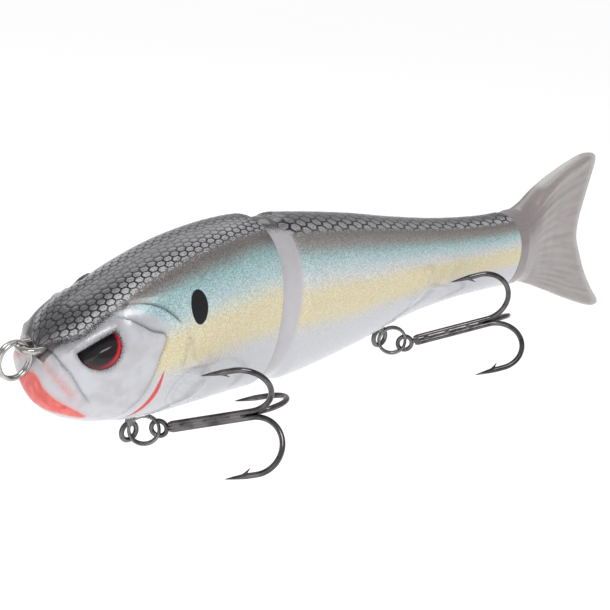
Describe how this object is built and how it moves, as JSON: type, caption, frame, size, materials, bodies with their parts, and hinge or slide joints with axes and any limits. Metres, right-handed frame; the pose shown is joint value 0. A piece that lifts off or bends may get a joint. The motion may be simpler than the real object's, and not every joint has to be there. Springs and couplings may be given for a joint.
{
  "type": "swimbait",
  "caption": "Two-section hard glide swimbait with a vertical pin joint, a soft forked tail, split rings and swinging treble hooks.",
  "frame": {"origin": "middle of the wire of the line-tie bow at the mouth, where the line ring hangs", "axes": "+X from the mouth toward the tail, +Z toward the back, +Y toward the fish's right side"},
  "size_m": [0.1843, 0.0425, 0.0497],
  "materials": {
    "body_paint": "gloss",
    "eye": "gloss",
    "bright_wire": "polished",
    "dark_wire": "satin",
    "black_nickel": "gloss",
    "steel": "satin",
    "soft_tail": "satin"
  },
  "bodies": {
    "front_body": {"front_shell_left": "body_paint", "front_shell_right": "body_paint", "eye_left": "eye", "eye_right": "eye", "line_tie": "bright_wire", "front_hook_hanger": "dark_wire", "front_ballast": "steel", "front_rattle_balls": "steel", "upper_hinge_eye": "steel", "lower_hinge_eye": "steel"},
    "line_ring": {"line_ring": "bright_wire"},
    "front_hook_ring": {"front_hook_ring": "dark_wire"},
    "front_treble_hook": {"front_treble_hook": "black_nickel"},
    "rear_body": {"rear_shell_left": "body_paint", "rear_shell_right": "body_paint", "hinge_pin": "steel", "rear_hook_hanger": "dark_wire", "rear_ballast": "steel", "rear_rattle_balls": "steel", "tail_root": "soft_tail", "tail_pin": "steel"},
    "rear_hook_ring": {"rear_hook_ring": "dark_wire"},
    "rear_treble_hook": {"rear_treble_hook": "black_nickel"},
    "tail_fin": {"tail_fin": "soft_tail"}
  },
  "joints": [
    {"name": "line_ring_swing", "type": "hinge", "parent": "front_body", "child": "line_ring", "pos_m": [0, 0, 0], "axis": [0, 1, 0], "range_deg": [-8, 90]},
    {"name": "body_hinge", "type": "hinge", "parent": "front_body", "child": "rear_body", "pos_m": [0.0592, 0, 0.001], "axis": [0, 0, 1], "range_deg": [-30, 30]},
    {"name": "tail_flex", "type": "hinge", "parent": "rear_body", "child": "tail_fin", "pos_m": [0.1422, 0, 0.0018], "axis": [0, 0, 1], "range_deg": [-25, 25], "stiffness_Nm_per_rad": 0.02},
    {"name": "front_ring_swing", "type": "hinge", "parent": "front_body", "child": "front_hook_ring", "pos_m": [0.0277, 0, -0.0225], "axis": [0.6157, 0.788, 0], "range_deg": [0, 100]},
    {"name": "front_hook_swing", "type": "hinge", "parent": "front_hook_ring", "child": "front_treble_hook", "pos_m": [0.03243, -0.0037, -0.02144], "axis": [0.7986, 0.6018, 0], "range_deg": [0, 55]},
    {"name": "rear_ring_swing", "type": "hinge", "parent": "rear_body", "child": "rear_hook_ring", "pos_m": [0.0984, 0, -0.0142], "axis": [0.5878, 0.809, 0], "range_deg": [0, 80]},
    {"name": "rear_hook_swing", "type": "hinge", "parent": "rear_hook_ring", "child": "rear_treble_hook", "pos_m": [0.10326, -0.00353, -0.01526], "axis": [0.5878, 0.809, 0], "range_deg": [0, 55]}
  ]
}
